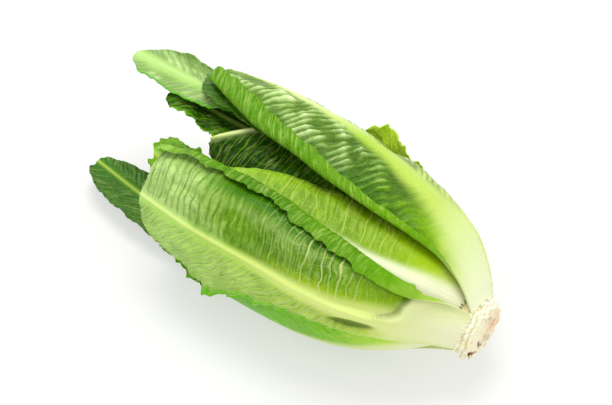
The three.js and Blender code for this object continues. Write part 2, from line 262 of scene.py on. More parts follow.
# How each leaf's surface is worked, in millimetres. A pair is for the low and the high half of the leaf, and
# a list for PLACES along it.
RELIEF = {
    "spacing": (6.5, 6.5), "slant": (0.9, 0.9),  # from one side vein to the next, and their lean to the tip
    "vein": 0.35, "pucker": (0.7, 0.7), "crumple": 0.8, "ridge": 0.6,  # heights
    "ridge_width": 1, "rib_shift": [0] * 6,  # the midrib's width as a share, and its shift to the high half
    "tooth": 1.8, "tip_tooth": 3.0,  # depth of the notches along the margin and at the tip
    "frill": 0.6, "frill_high": 1.0,  # waves of the margin, and the share of them on the high half
    "white": [11, 10, 7, 4.5, 2.6, 1.6], "white_end": 0.95,  # half width of the white tissue, and its end
    "cut": (FULL, FULL),  # the share of each half's width that the sheet keeps
    "calm": (9, 9),  # the share of the half width past which the puckers fade
    "detail": (1.0, 1.0),  # the strength of the veins' colour
    "groove": (1, 0.5, 0.58, 0.85),  # a groove with painted shadow: its half, its two edges across, and its end
}
WORKED = {
    "leaf_front": {"frill": 3.0, "frill_high": 0.4, "spacing": (5.2, 4.7), "slant": (0.75, 0.12), "vein": 0.5,
                   "pucker": (0.45, 0.7), "crumple": 0.9, "ridge": 1.5, "ridge_width": 0.8, "tooth": 4.0,
                   "calm": (9, 0.66), "cut": (FULL, [1, 1, 0.98, 0.92, 0.9, 0.93])},
    "leaf_upper": {"spacing": (5.2, 5.2), "slant": (0.55, 0.6), "vein": 0.5, "pucker": (2.8, 0.15),
                   "crumple": 0.4, "tooth": 2.2, "white": [22, 15, 9.5, 7.5, 6, 4], "white_end": 1.8,
                   "detail": (1.0, 0.15), "groove": (-1, 0.2, 0.44, 0.6), "ridge_width": 1.6,
                   "cut": ([1, 0.94, 0.92, 0.95, 1, 1], FULL), "calm": (0.58, 9),
                   "rib_shift": [2, 9, 13, 13, 9, 4]},
    "leaf_low_front": {"pucker": (0.3, 0.5), "vein": 0.1, "crumple": 0.6, "ridge": 0.3},
    "leaf_middle": {"pucker": (0.35, 0.5), "vein": 0.3, "crumple": 0.4, "ridge": 0.8, "slant": (0.5, 0.25),
                    "white": [9, 7, 4.5, 3, 2, 1.5], "rib_shift": [-2, -5, -7, -7, -4, 0]},
    "leaf_back": {"tooth": 4.0, "frill": 2.0, "pucker": (1.0, 0.8)},
    "leaf_long": {"frill": 1.5, "pucker": (1.2, 1.2), "vein": 0.3, "crumple": 1.6, "tooth": 2.5},
    "leaf_crinkled": {"pucker": (2.8, 2.8), "vein": 0.6, "crumple": 4.8, "spacing": (9, 9), "tooth": 5.0,
                      "frill": 3.5},
    "leaf_tucked": {"tooth": 3.0, "pucker": (1.0, 1.0)},
    "leaf_ragged": {"frill": 2.5, "pucker": (1.0, 1.0), "crumple": 1.4, "tooth": 5.0, "tip_tooth": 6.0},
    "leaf_hooded": {"pucker": (1.6, 0.7), "vein": 0.5, "spacing": (5, 5), "slant": (0.1, 0.5), "ridge": 1.2,
                    "ridge_width": 2.4, "white_end": 1.6, "white": [9, 8, 6, 4, 2.4, 1.6]},
}
BRANCH_SPACING = 5.2  # from one branch of a side vein to the next
SHEET = 0.55  # thickness of a leaf away from its midrib
THICKEST = 5  # thickness that a full weight of the wall stands for
SHEET_HEIGHT, LOWEST_TOP, LOWEST = 0.65, 0.05, 0.02  # how far a pressed leaf stays off the surface
UV_SIZE = 300  # millimetres across the leaf's map


def section(half_leaf, u, share):
    """How far along and how far off the body each column of one half lies, for each row."""
    fine = 240
    middle = (np.arange(fine) + 0.5) / fine
    slopes = np.asarray(half_leaf["slope"], float)
    slope = np.interp(middle, slopes[:, 0], slopes[:, 1])
    angle = np.radians(slope[None, :] * through(PLACES, half_leaf["bend"], u)[:, None])
    half = through(PLACES, half_leaf["half"], u)[:, None] / fine
    along = np.concatenate([np.zeros((len(u), 1)), np.cumsum(np.cos(angle) * half, 1)], 1)
    off = np.concatenate([np.zeros((len(u), 1)), np.cumsum(np.sin(angle) * half, 1)], 1)
    place = np.clip(share * fine, 0, fine - 1e-9)
    k = place.astype(int)
    t = place - k
    row = np.arange(len(u))[:, None]
    return (along[row, k] * (1 - t) + along[row, k + 1] * t, off[row, k] * (1 - t) + off[row, k + 1] * t)


def surface(leaf, work, columns, rows):
    """The leaf's middle surface with its relief, and what its materials need to know of each point."""
    share = np.linspace(-1, 1, columns)[None, :] * np.ones((rows, 1))
    u = np.linspace(0, 1, rows)[:, None] * np.ones((1, columns))
    sign = np.where(share < 0, -1.0, 1.0)
    seed = leaf["seed"]
    # Notched margins: the sheet ends a little short of its outline here and there.
    length = leaf["tip"] - leaf["root"]
    mark = u * length
    bite = 0.5 + 0.5 * (0.6 * noise(mark / 7, sign, seed) + 0.4 * noise(mark / 2.6, sign * 3, seed))
    width = (leaf["low"]["half"][WIDEST] + leaf["high"]["half"][WIDEST]) / 2
    reach = np.abs(share) * (1 - work["tooth"] / width * smooth(0.1, 0.3, u) * bite * np.abs(share) ** 7)
    reach = reach * np.where(share < 0, *[through(PLACES, cut, u) for cut in work["cut"]])
    tip_bite = 0.5 + 0.5 * (0.6 * noise(share * width / 8, 0 * share + 5, seed) +
                            0.4 * noise(share * width / 3, 0 * share + 9, seed))
    v = u * (1 - work["tip_tooth"] / length * tip_bite * u ** 12)

    flat_u = np.linspace(0, 1, rows)
    along, off = np.zeros_like(share), np.zeros_like(share)
    end, flare_set = np.zeros_like(share), np.zeros((4,) + share.shape)
    for name, mask in (("low", share < 0), ("high", share >= 0)):
        a, o = section(leaf[name], flat_u, reach)
        along, off = np.where(mask, a, along), np.where(mask, o, off)
        end = np.where(mask, leaf["tip"] - leaf[name]["drop"] * reach ** 2.5, end)
        for k in range(4):
            flare_set[k] = np.where(mask, leaf[name]["flare"][k], flare_set[k])
    turn, lift = through(PLACES, leaf["turn"], v), through(PLACES, leaf["lift"], v)
    lean = leaf["lean"] * reach * 4 * v * (1 - v)
    ragged = leaf["wave"] * smooth(0.8, 1, v) * ripple(reach * 7 * sign, seed)
    worn = 1.2 * noise(share * 9, 0 * share, seed) * (1 - smooth(0, 0.05, v))
    dist = leaf["root"] + (end - leaf["root"]) * v + lean + ragged + worn
    radius = np.maximum((through(BODY["from"], BODY["half_width"], dist) +
                         through(BODY["from"], BODY["half_height"], dist)) / 2 + lift + off, 8)
    edge = smooth(0.5, 1, reach) * smooth(0.15, 0.45, v)
    wave = leaf["wave"] * edge * ripple(dist / 7, seed + sign)
    frill = work["frill"] * reach ** 6 * smooth(0.25, 0.45, v) * np.where(sign < 0, 1, work["frill_high"])
    wave = wave + frill * (noise(dist / 4.6, sign, seed) + 0.6 * noise(dist / 2.2, 3 * sign, seed))
    flare_reach = np.where(dist < flare_set[0], flare_set[1], flare_set[2])
    flare = flare_set[3] * reach ** 3 * np.exp(-np.abs((dist - flare_set[0]) / flare_reach) ** 1.5)
    angle = turn + sign * np.degrees(along / radius)
    points = on_body(dist, angle, lift + off + wave + flare)
    if leaf["pressed"]:
        points[..., 2] = np.maximum(points[..., 2], SHEET_HEIGHT)

    half = np.where(share < 0, *[through(PLACES, leaf[name]["half"], v) for name in ("low", "high")])
    across = reach * half * sign - through(PLACES, work["rib_shift"], v)
    sign = np.where(across < 0, -1.0, 1.0)
    across = np.abs(across)
    # The side veins leave the midrib and lean to the tip, with puckers between them.
    spacing = np.where(sign < 0, *[float(s) for s in work["spacing"]])
    slant = np.where(sign < 0, *[float(s) for s in work["slant"]])
    path = dist - slant * across - 0.006 * across ** 2 * slant
    path = (path + 2.2 * noise(dist / 13, across * sign / 13, seed)
            + 0.8 * noise(dist / 5, across * sign / 5, seed + 1))
    phase = path / spacing + seed
    part = phase - np.floor(phase)
    near = np.minimum(part, 1 - part) * spacing
    strength = 0.65 + 0.35 * noise(np.floor(phase + 0.5) * 1.7, sign * 2.3, seed)
    blade = smooth(2, 7, across) * smooth(0.12, 0.34, v)
    vein = np.exp(-((near / 0.75) ** 2)) * strength * blade * (1 - 0.6 * smooth(0.75, 1, reach))
    cross = ((across + 1.8 * noise(dist / 4, across / 6, seed + 2)) / BRANCH_SPACING
             + 0.5 * noise(phase * 0.9, 0 * phase, seed))
    cross_part = cross - np.floor(cross)
    branch = np.exp(-((np.minimum(cross_part, 1 - cross_part) * BRANCH_SPACING / 0.7) ** 2)) * blade
    pillow = np.sin(np.pi * part) ** 0.8 * (0.75 + 0.25 * np.sin(np.pi * cross_part) ** 0.8)
    pillow = pillow * (0.72 + 0.6 * noise(dist / 8, across * sign / 6, seed + 3))
    crumple = (noise(dist / 17, across * sign / 14, seed + 4)
               + 0.5 * noise(dist / 8, across * sign / 7, seed + 5))
    ridge_width = through(PLACES, [5, 4.5, 3.2, 2.3, 1.6, 1.2], v) * work["ridge_width"]
    ridge = np.exp(-((across / ridge_width) ** 2))
    fibre = np.cos(across * 2 * np.pi / 2.6 + 2 * noise(dist / 30, across / 3, seed))
    fibre = fibre * (1 - smooth(0.2, 0.5, v))

    rib_width, rib_height = through(PLACES, leaf["rib_width"], v), through(PLACES, leaf["rib_height"], v)
    rib = np.exp(-((across / rib_width) ** 2))
    pucker = np.where(sign < 0, *[float(p) for p in work["pucker"]])
    fold = np.where(share < 0, *[float(c) for c in work["calm"]])
    calm = 1 - 0.85 * smooth(fold, fold + 0.08, reach)
    height = (0.3 + 0.4 * rib_height * rib + work["ridge"] * ridge * smooth(0.05, 0.3, v) * (1 - 0.5 * v)
              + work["vein"] * vein + 0.25 * work["vein"] * branch
              + pucker * (pillow - 0.4) * blade * calm
              + work["crumple"] * crumple * smooth(3, 14, across) * smooth(0.15, 0.45, v)
              + 0.03 * fibre)
    side_of_groove, groove_from, groove_to, groove_end = work["groove"]
    facts = {
        "rib": np.clip(ridge * (0.35 + 0.65 * smooth(0, 0.35, v)), 0, 1),
        "petiole": np.exp(-((across / through(PLACES, work["white"], v)) ** 4))
        * (1 - smooth(0.25, work["white_end"], v)),
        # crease: where painted shade darkens the creases between the puckers
        "crease": np.clip(1 - pillow, 0, 1) * blade * calm,
        # top: where painted highlights pale the tops of the puckers
        "top": np.clip(pillow - 0.45, 0, 1) * 1.6 * blade * calm * smooth(0.3, 0.6, v),
        # groove: where painted shadow darkens the groove under a rolled margin
        "groove": smooth(groove_from, groove_to, reach) * (np.sign(share) == side_of_groove)
        * smooth(0.08, 0.25, v) * (1 - 0.8 * smooth(groove_end - 0.2, groove_end, v)),
        "valley": np.where(share > 0, 1, 0) * smooth(1, 3, across) * (1 - smooth(6, 15, across))
        * (1 - smooth(0.3, 0.65, v)) * smooth(0.13, 0.16, v),
        "phase": phase,
        "cross": cross,
        "blade": blade * np.where(sign < 0, *work["detail"]),
        # crest: a painted highlight along the front leaf's shoulder
        "crest": np.exp(-(((reach - 0.46) / 0.05) ** 2)) * np.where(share > 0, 1, 0) * smooth(0.2, 0.4, v),
        "along": v,
        "rim": smooth(0.8, 0.94, np.abs(share) + 0.04 * noise(dist / 3, sign, seed)) * smooth(0.2, 0.4, v),
        "low": np.where(sign < 0, 1.0, 0.0) * smooth(0, 4, across),
        # dark: painted shade, laid on at the front leaf's split and hollow
        "dark": np.zeros_like(v),
        "split": np.zeros_like(v),
    }
    return points, height, SHEET + rib_height * rib, facts, dist, across * sign


def crack_and_pocket(points, height, facts, dist, across):
    """The front leaf's stalk has split across above its midrib, and has a hollow under the midrib."""
    band = smooth(0.5, 3, across) * (1 - smooth(21, 27, across))
    edge = 33.5 + 1.0 * noise(across / 6, 0 * across, 3.0) + 15 * np.exp(-np.clip(across - 1, 0, None) / 3.5)
    fall = smooth(edge - 0.4, edge + 1.0, dist) * (1 - smooth(edge + 6, edge + 36, dist))
    height -= 3.6 * band * fall
    height += 1.6 * band * np.exp(-(((dist - edge + 4) / 5) ** 2)) * (dist < edge + 1)
    # Painted shade: a dark line along the edge of the split.
    facts["dark"] = np.maximum(facts["dark"], 0.5 * band * np.exp(-(((dist - edge - 1.1) / 0.9) ** 2)))
    facts["valley"] *= smooth(edge - 0.5, edge + 0.5, dist)
    facts["split"] = (1 - smooth(edge - 0.8, edge + 0.4, dist)) * smooth(0.5, 3, across)
    down = across + 8.5 + 0.16 * (dist - 56)
    hollow = np.exp(-(((dist - 56) / 13) ** 4) - ((down / (3.4 - 0.1 * np.abs(dist - 56))) ** 2))
    height -= 3.0 * hollow
    height += 1.2 * np.exp(-(((dist - 54) / 16) ** 2) - (((down + 4.6) / 2.4) ** 2))
    # Painted shade in the hollow.
    shade = 0.95 * smooth(0.3, 0.8, hollow) * (0.6 + 0.4 * smooth(2, -2, down))
    facts["dark"] = np.maximum(facts["dark"], shade)


def keep_facts(mesh, facts):
    """Keeps what the materials read, one value for each vertex."""
    for key, values in facts.items():
        mesh.attributes.new(key, "FLOAT", "POINT").data.foreach_set("value", values.astype(np.float32))


def deselect():
    if bpy.context.object and bpy.context.object.mode != "OBJECT":
        bpy.ops.object.mode_set(mode="OBJECT")
    bpy.ops.object.select_all(action="DESELECT")


def make_leaf(name, measures, materials):
    """A leaf: a grid laid on the body by its measures, with its relief, and given a wall."""
    leaf = {**LEAF, **measures}
    work = {**RELIEF, **WORKED.get(name, {})}
    length = leaf["tip"] - leaf["root"]
    widest = max(leaf["low"]["half"]) + max(leaf["high"]["half"])
    columns, rows = int(widest / leaf["grid"]) | 1, int(length / leaf["grid"]) + 1
    points, height, thickness, facts, dist, across = surface(leaf, work, columns, rows)
    if name == "leaf_front":
        crack_and_pocket(points, height, facts, dist, across)
    tipwards, sideways = np.gradient(points, axis=0), np.gradient(points, axis=1)
    normal = np.cross(sideways, tipwards)
    normal /= np.linalg.norm(normal, axis=-1, keepdims=True) + 1e-12
    shaped = points + normal * height[..., None]
    if leaf["pressed"]:
        shaped[..., 2] = np.maximum(shaped[..., 2], LOWEST_TOP)

    deselect()
    bpy.ops.mesh.primitive_grid_add(
        x_subdivisions=columns - 1, y_subdivisions=rows - 1, size=2, calc_uvs=True)
    piece = bpy.context.object
    piece.name = piece.data.name = name + "_leaf"
    mesh = piece.data
    start = np.empty(len(mesh.vertices) * 3)
    mesh.vertices.foreach_get("co", start)
    start = start.reshape(-1, 3)
    c = np.rint((start[:, 0] + 1) / 2 * (columns - 1)).astype(int)
    r = np.rint((start[:, 1] + 1) / 2 * (rows - 1)).astype(int)
    mesh.vertices.foreach_set("co", (shaped[r, c] / MM).ravel())
    corner = np.empty(len(mesh.loops), int)
    mesh.loops.foreach_get("vertex_index", corner)
    uv = np.stack([0.5 + across[r, c] / UV_SIZE, dist[r, c] / UV_SIZE], -1)
    mesh.uv_layers[0].name = "leaf_mm"
    mesh.uv_layers[0].data.foreach_set("uv", uv[corner].ravel())
    keep_facts(mesh, {key: values[r, c] for key, values in facts.items()})
    group = piece.vertex_groups.new(name="thickness")
    step = np.round(np.clip(thickness[r, c] / THICKEST, 0.02, 1), 2)
    for value in np.unique(step):
        group.add(np.nonzero(step == value)[0].tolist(), float(value), "REPLACE")
    mesh.update()
    polygon = mesh.polygons[len(mesh.polygons) // 2]
    v0 = polygon.vertices[0]
    if Vector(normal[r[v0], c[v0]]).dot(polygon.normal) < 0:
        bpy.ops.object.mode_set(mode="EDIT")
        bpy.ops.mesh.select_all(action="SELECT")
        bpy.ops.mesh.flip_normals()
        bpy.ops.object.mode_set(mode="OBJECT")
    for material in materials:
        mesh.materials.append(material)
    wall = piece.modifiers.new("wall", "SOLIDIFY")
    wall.thickness, wall.offset = THICKEST / MM, -1
    wall.vertex_group, wall.thickness_vertex_group = "thickness", 0.0
    wall.material_offset, wall.material_offset_rim = 1, 0
    bpy.ops.object.modifier_apply(modifier="wall")
    if leaf["pressed"]:
        flat = np.empty(len(mesh.vertices) * 3)
        mesh.vertices.foreach_get("co", flat)
        flat[2::3] = np.maximum(flat[2::3], LOWEST / MM)
        mesh.vertices.foreach_set("co", flat)
    bpy.ops.object.shade_smooth()
    return piece


FACE_BULGE = 1.5
# Where spots lie on the cut face (sideways and up from its middle), their size and their strength.
BROWN_SPOTS = ((-12.2, -7.0, 1.7, 1.0), (-10.2, -8.8, 1.1, 0.8), (-4.8, -5.8, 1.5, 1.0),
               (-3.2, -7.4, 0.9, 0.7), (3.5, -2.0, 1.2, 0.5), (9.5, 2.5, 1.2, 0.45))


def make_butt(material):
    """The cut butt: an uneven cut face, and round it the scars of leaves that were pulled off."""
    deselect()
    bpy.ops.mesh.primitive_uv_sphere_add(segments=144, ring_count=96, radius=1)
    piece = bpy.context.object
    piece.name = piece.data.name = "cut_butt"
    mesh = piece.data
    ball = np.empty(len(mesh.vertices) * 3)
    mesh.vertices.foreach_get("co", ball)
    ball = ball.reshape(-1, 3)
    t = np.arccos(np.clip(ball[:, 2], -1, 1)) / np.pi
    angle = np.degrees(np.arctan2(ball[:, 1], ball[:, 0]))
    turn = np.radians(angle)  # the way round the butt
    # From the middle of the cut face out to its rim, along the side, and in again at the hidden end.
    dist = through([0, 0.38, 0.45, 0.8, 0.93, 1], [0.2, 0.3, 1.2, 9.5, 26, 38], t)
    spread = through([0, 0.36, 0.42, 0.9, 0.97, 1], [0, 0.93, 1, 1, 0.7, 0], t)
    lift = through([0, 1.2, 3, 5.5, 8, 12, 21, 30, 42],
                   [-1.6, -0.6, -0.2, -0.9, -2.6, -6.5, -17.6, -25, -32], dist)
    x, y = 3 * np.cos(turn), 3 * np.sin(turn)
    lobes = noise(x * 0.8, y * 0.8, 1.0) + 0.5 * noise(x * 2.3, y * 2.3, 2.0)
    # Overlapping scars, each with a torn lip.
    layer = dist / 2.9 + 0.5 * noise(x * 1.2, y * 1.2, 4.0) + 0.16 * noise(x * 6, y * 6 + dist, 5.0)
    lip = (layer - np.floor(layer)) ** 2
    torn = noise(x * 4.5, y * 4.5 + dist * 0.8, 6.0)
    side_part = smooth(0.34, 0.44, t) * (1 - smooth(0.78, 0.86, t))
    lift = lift + smooth(0.2, 0.4, t) * (1 - smooth(0.78, 0.86, t)) * 1.6 * lobes
    lift = lift + side_part * (1.2 * (0.4 - lip) + 0.9 * torn)
    full = on_body(dist, angle, lift)
    axis = np.stack([CUT_FACE_X - dist, FACE_SIDE + through(BODY["from"], BODY["centre_side"], dist),
                     through(BODY["from"], BODY["centre_height"], dist) - PRESSED], -1)
    points = axis + (full - axis) * spread[:, None]
    across, up = points[:, 1] - FACE_SIDE, points[:, 2] - FACE_HEIGHT
    face_part = 1 - smooth(0.36, 0.43, t)
    ring = np.sqrt(across ** 2 + up ** 2)
    rough = noise(across / 4.2, up / 4.2, 7.0) + 0.5 * noise(across / 1.7, up / 1.7, 8.0)
    points[:, 0] += face_part * (0.9 * rough - 0.5 + 0.7 * np.cos(ring * 0.62) * smooth(3, 9, ring))
    points[:, 0] = np.minimum(points[:, 0], CUT_FACE_X + FACE_BULGE)
    mesh.vertices.foreach_set("co", (points / MM).ravel())
    spots = np.zeros(len(points))
    for side_mm, up_mm, size, strength in BROWN_SPOTS:
        gap = (across - side_mm) ** 2 + (up - up_mm) ** 2
        spots = np.maximum(spots, strength * np.exp(-gap / size ** 2) * (1 - smooth(0.46, 0.52, t)))
    facts = {
        "spot": np.clip(spots + 0.25 * face_part * smooth(0.35, 0.8, rough), 0, 1),
        "scar": side_part * smooth(0.55, 0.95, lip),
        "face": face_part,
        "blush": (1 - smooth(0.5, 0.7, t)) * np.exp(-(((across - 9) / 7) ** 2) - (((up - 0.5) / 7) ** 2)),
    }
    keep_facts(mesh, facts)
    mesh.materials.append(material)
    mesh.update()
    bpy.ops.object.mode_set(mode="EDIT")
    bpy.ops.mesh.select_all(action="SELECT")
    bpy.ops.mesh.normals_make_consistent(inside=False)
    bpy.ops.object.mode_set(mode="OBJECT")
    bpy.ops.object.shade_smooth()
    return piece


def srgb(r, g, b):
    """A colour as a paint chart gives it, from 0 to 255, for a material."""
    def linear(v):
        v /= 255
        return v / 12.92 if v <= 0.04045 else ((v + 0.055) / 1.055) ** 2.4

    return (linear(r), linear(g), linear(b), 1.0)


class Nodes:
    """A material, and short ways to add nodes to it."""

    def __init__(self, name):
        self.material = bpy.data.materials.new(name)
        self.material.use_nodes = True
        self.tree = self.material.node_tree
        self.tree.nodes.clear()

    def add(self, kind, inputs=None, **settings):
        node = self.tree.nodes.new(kind)
        for key, value in settings.items():
            setattr(node, key, value)
        for key, value in (inputs or {}).items():
            if isinstance(value, bpy.types.NodeSocket):
                self.tree.links.new(value, node.inputs[key])
            else:
                node.inputs[key].default_value = value
        return node

    def attribute(self, name):
        return self.add("ShaderNodeAttribute", attribute_name=name, attribute_type="GEOMETRY").outputs["Fac"]

    def math(self, operation, a, b=0.0, clamp=False):
        return self.add("ShaderNodeMath", {0: a, 1: b}, operation=operation, use_clamp=clamp).outputs[0]

    def mix(self, factor, a, b, blend="MIX"):
        node = self.add("ShaderNodeMix", {0: factor, 6: a, 7: b}, data_type="RGBA", blend_type=blend)
        return node.outputs[2]

    def ramp(self, factor, stops):
        node = self.add("ShaderNodeValToRGB", {0: factor})
        elements = node.color_ramp.elements
        while len(elements) < len(stops):
            elements.new(0.5)
        for element, (place, colour) in zip(elements, stops):
            element.position = place
            element.color = colour
        return node.outputs["Color"]

    def noise(self, vector, scale, detail=3.0, roughness=0.55):
        return self.add("ShaderNodeTexNoise", {
            "Vector": vector, "Scale": scale, "Detail": detail, "Roughness": roughness}).outputs["Fac"]

    def surface(self, shader):
        self.tree.links.new(shader.outputs[0], self.add("ShaderNodeOutputMaterial").inputs[0])


# Colours for the leaf marks: two grain tones, painted shade for the creases, the groove and the hollow, a
# painted highlight for the crest, and the own colours of the valley and the split.
PALE_GRAIN, DARK_GRAIN, CREASE_SHADE = srgb(222, 234, 150), srgb(50, 96, 4), srgb(52, 96, 6)
CREST_HIGHLIGHT, GROOVE_SHADOW, VALLEY_GREEN = srgb(206, 224, 160), srgb(58, 116, 0), srgb(166, 200, 0)
SPLIT_CREAM, HOLLOW_SHADE = srgb(220, 228, 168), srgb(58, 92, 8)


def leaf_material(name, blade, rib, vein, vein_share=0.7, gloss=0.38, net=0.2, low=None, mottle=0.35,
                  crease=0.35, groove=0.0, valley=0.0, rim=None, vein_low=None, top=None, top_share=0.5,
                  crest=0.0, streaks=0.5, shine=0.17):
    """Leaf tissue: blade and rib colours from root to tip, paler veins, a fine net, mottling and gloss."""
    n = Nodes(name)
    uv = n.add("ShaderNodeUVMap", uv_map="leaf_mm").outputs["UV"]
    along, rib_mask, blade_mask = n.attribute("along"), n.attribute("rib"), n.attribute("blade")
    phase, cross = n.attribute("phase"), n.attribute("cross")
    across = n.add("ShaderNodeSeparateXYZ", {0: uv}).outputs["X"]
    grain_place = n.add("ShaderNodeCombineXYZ", {
        "X": n.math("MULTIPLY", phase, 3.2), "Y": n.math("MULTIPLY", across, 36.0)}).outputs[0]
    streak = n.noise(grain_place, 1.0, 4, 0.62)
    large = n.noise(uv, 14, 3)
    fine = n.noise(uv, 90, 4, 0.6)
    place = n.math("ADD", along, n.math("MULTIPLY", n.math("SUBTRACT", large, 0.5), 0.3))
    colour = n.ramp(place, blade)
    if low is not None:
        colour = n.mix(n.attribute("low"), colour, n.ramp(place, low))
    hue = n.math("MULTIPLY", n.math("SUBTRACT", fine, 0.5), mottle)
    grain = n.math("MULTIPLY", n.math("MULTIPLY", n.math("SUBTRACT", streak, 0.5), blade_mask), 2.2 * streaks)
    hue = n.math("ADD", hue, grain)
    colour = n.mix(n.math("ADD", hue, 0.0, True), colour, PALE_GRAIN)
    colour = n.mix(n.math("MULTIPLY", hue, -1.3, True), colour, DARK_GRAIN)
    if not isinstance(vein, tuple):
        vein = n.ramp(along, vein)
    if vein_low is not None:
        vein = n.mix(n.attribute("low"), vein, vein_low)
    # Painted shade: the creases between the puckers are darkened.
    deep = n.mix(0.7, colour, CREASE_SHADE, "MULTIPLY")
    colour = n.mix(n.math("MULTIPLY", n.attribute("crease"), crease), colour, deep)
    # Painted highlight: the tops of the puckers are paled.
    if top is not None:
        colour = n.mix(n.math("MULTIPLY", n.attribute("top"), top_share), colour, top)
    # Painted highlight along the shoulder crest, broken up by the streaks.
    if crest:
        pale = n.math("MULTIPLY", n.math("MULTIPLY", n.attribute("crest"), streak), crest)
        colour = n.mix(pale, colour, CREST_HIGHLIGHT)
    # Painted shadow in the groove under a rolled margin.
    if groove:
        colour = n.mix(n.math("MULTIPLY", n.attribute("groove"), groove), colour, GROOVE_SHADOW)
    if valley:
        colour = n.mix(n.math("MULTIPLY", n.attribute("valley"), valley), colour, VALLEY_GREEN)
        colour = n.mix(n.attribute("split"), colour, SPLIT_CREAM)
    if rim is not None:
        colour = n.mix(n.math("MULTIPLY", n.attribute("rim"), n.attribute("low")), colour, rim)
    cells = n.add("ShaderNodeTexVoronoi", {"Vector": uv, "Scale": 110.0, "Randomness": 0.9},
                  feature="DISTANCE_TO_EDGE").outputs["Distance"]
    line = n.math("SUBTRACT", 1.0, n.math("MULTIPLY", cells, 9.0), True)
    blade_part = n.math("SUBTRACT", 1.0, n.math("ADD", rib_mask, n.attribute("petiole"), True), True)
    net_mask = n.math("MULTIPLY", n.math("MULTIPLY", line, net), blade_part)
    colour = n.mix(net_mask, colour, vein)
    number = n.math("ROUND", phase)
    strength = n.add("ShaderNodeTexWhiteNoise", {"W": number}, noise_dimensions="1D").outputs["Value"]
    strength = n.math("ADD", n.math("MULTIPLY", strength, 0.6), 0.4)
    off_vein = n.math("ABSOLUTE", n.math("SUBTRACT", phase, number))
    side_vein = n.math("SUBTRACT", 1.0, n.math("MULTIPLY", off_vein, 8.5), True)
    side_vein = n.math("MULTIPLY", n.math("MULTIPLY", side_vein, strength), blade_mask)
    off_cross = n.math("ABSOLUTE", n.math("SUBTRACT", cross, n.math("ROUND", cross)))
    branch = n.math("SUBTRACT", 1.0, n.math("MULTIPLY", off_cross, 13.0), True)
    branch = n.math("MULTIPLY", n.math("MULTIPLY", branch, blade_mask), n.math("MULTIPLY", large, 0.9))
    colour = n.mix(n.math("MULTIPLY", branch, vein_share * 0.6), colour, vein)
    colour = n.mix(n.math("MULTIPLY", side_vein, vein_share), colour, vein)
    rib_colour = n.ramp(along, rib)
    colour = n.mix(n.attribute("petiole"), colour, rib_colour)
    colour = n.mix(n.math("MULTIPLY", rib_mask, 0.85), colour, rib_colour)
    # Painted shade at the front leaf's split and in its hollow.
    colour = n.mix(n.math("MULTIPLY", n.attribute("dark"), 0.75), colour, HOLLOW_SHADE)
    height = n.math("MULTIPLY", n.math("ADD", n.math("MULTIPLY", fine, 0.5), n.math("MULTIPLY", line, 0.3)),
                    n.math("ADD", n.math("MULTIPLY", blade_mask, 0.9), 0.1))
    height = n.math("ADD", height, n.math("MULTIPLY", side_vein, 0.9))
    height = n.math("ADD", height, n.math("MULTIPLY", n.math("MULTIPLY", streak, blade_mask), 1.6))
    colour = n.add("ShaderNodeGamma", {"Color": colour, "Gamma": 1.12}).outputs[0]
    bump = n.add("ShaderNodeBump", {"Height": height, "Strength": 0.55, "Distance": 0.0008})
    rough = n.math("ADD", n.math("MULTIPLY", n.noise(uv, 160, 2), 0.25), gloss - 0.12)
    shader = n.add("ShaderNodeBsdfPrincipled", {
        "Base Color": colour, "Roughness": rough, "Normal": bump.outputs["Normal"],
        "Specular IOR Level": shine, "Subsurface Weight": 0.12, "Subsurface Scale": 0.002,
        "Subsurface Radius": (0.6, 1.0, 0.25)})
    n.surface(shader)
    return n.material


def butt_material():
    """Pale cut tissue with brown spots, darker scars and a faint blush."""
    n = Nodes("cut_butt")
    place = n.add("ShaderNodeTexCoord").outputs["Object"]
    large = n.noise(place, 90, 4)
    fine = n.noise(place, 520, 5, 0.65)
    colour = n.ramp(large, [(0.3, srgb(244, 230, 172)), (0.5, srgb(255, 250, 222)),
                            (0.7, srgb(240, 242, 184))])
    colour = n.mix(n.math("MULTIPLY", n.attribute("face"), 0.5), colour, srgb(255, 244, 208))
    colour = n.mix(n.math("MULTIPLY", n.attribute("scar"), 0.55), colour, srgb(222, 206, 140))
    colour = n.mix(n.math("MULTIPLY", n.attribute("blush"), 0.6), colour, srgb(246, 170, 130))
    colour = n.mix(n.math("MULTIPLY", n.math("SUBTRACT", fine, 0.4, True), 0.6), colour, srgb(254, 250, 226))
    ragged = n.math("MULTIPLY", n.math("ADD", n.attribute("spot"), n.math("SUBTRACT", fine, 0.55)), 1.6, True)
    brown = n.math("MULTIPLY", ragged, n.math("GREATER_THAN", n.attribute("spot"), 0.08))
    colour = n.mix(brown, colour, srgb(112, 62, 10))
    bump = n.add("ShaderNodeBump", {"Height": fine, "Strength": 0.7, "Distance": 0.001})
    shader = n.add("ShaderNodeBsdfPrincipled", {
        "Base Color": colour, "Roughness": n.math("ADD", n.math("MULTIPLY", fine, 0.3), 0.4),
        "Normal": bump.outputs["Normal"], "Specular IOR Level": 0.3, "Subsurface Weight": 0.15,
        "Subsurface Scale": 0.003, "Subsurface Radius": (1.0, 0.8, 0.5)})
    n.surface(shader)
    return n.material


CREAM, WHITE_GREEN = srgb(240, 240, 208), srgb(218, 230, 156)
PALE_RIB = [(0.0, CREAM), (0.25, WHITE_GREEN), (0.6, srgb(200, 220, 110)), (1.0, srgb(184, 210, 90))]
INSIDE = [(0.0, srgb(200, 214, 120)), (0.3, srgb(112, 156, 24)), (0.7, srgb(84, 134, 8)),
          (1.0, srgb(104, 152, 40))]

# The crinkled leaf lies in shade deep in the heart: full painted shade in its creases, painted highlights on
# its pucker tops, and its dark blade partly its own deep green and partly painted shade.
CRINKLED = dict(rib=PALE_RIB, vein=srgb(130, 178, 30), gloss=0.26, crease=1.0, streaks=1.2,
                top=srgb(120, 176, 30), shine=0.06, net=0.22, rim=srgb(104, 164, 14))

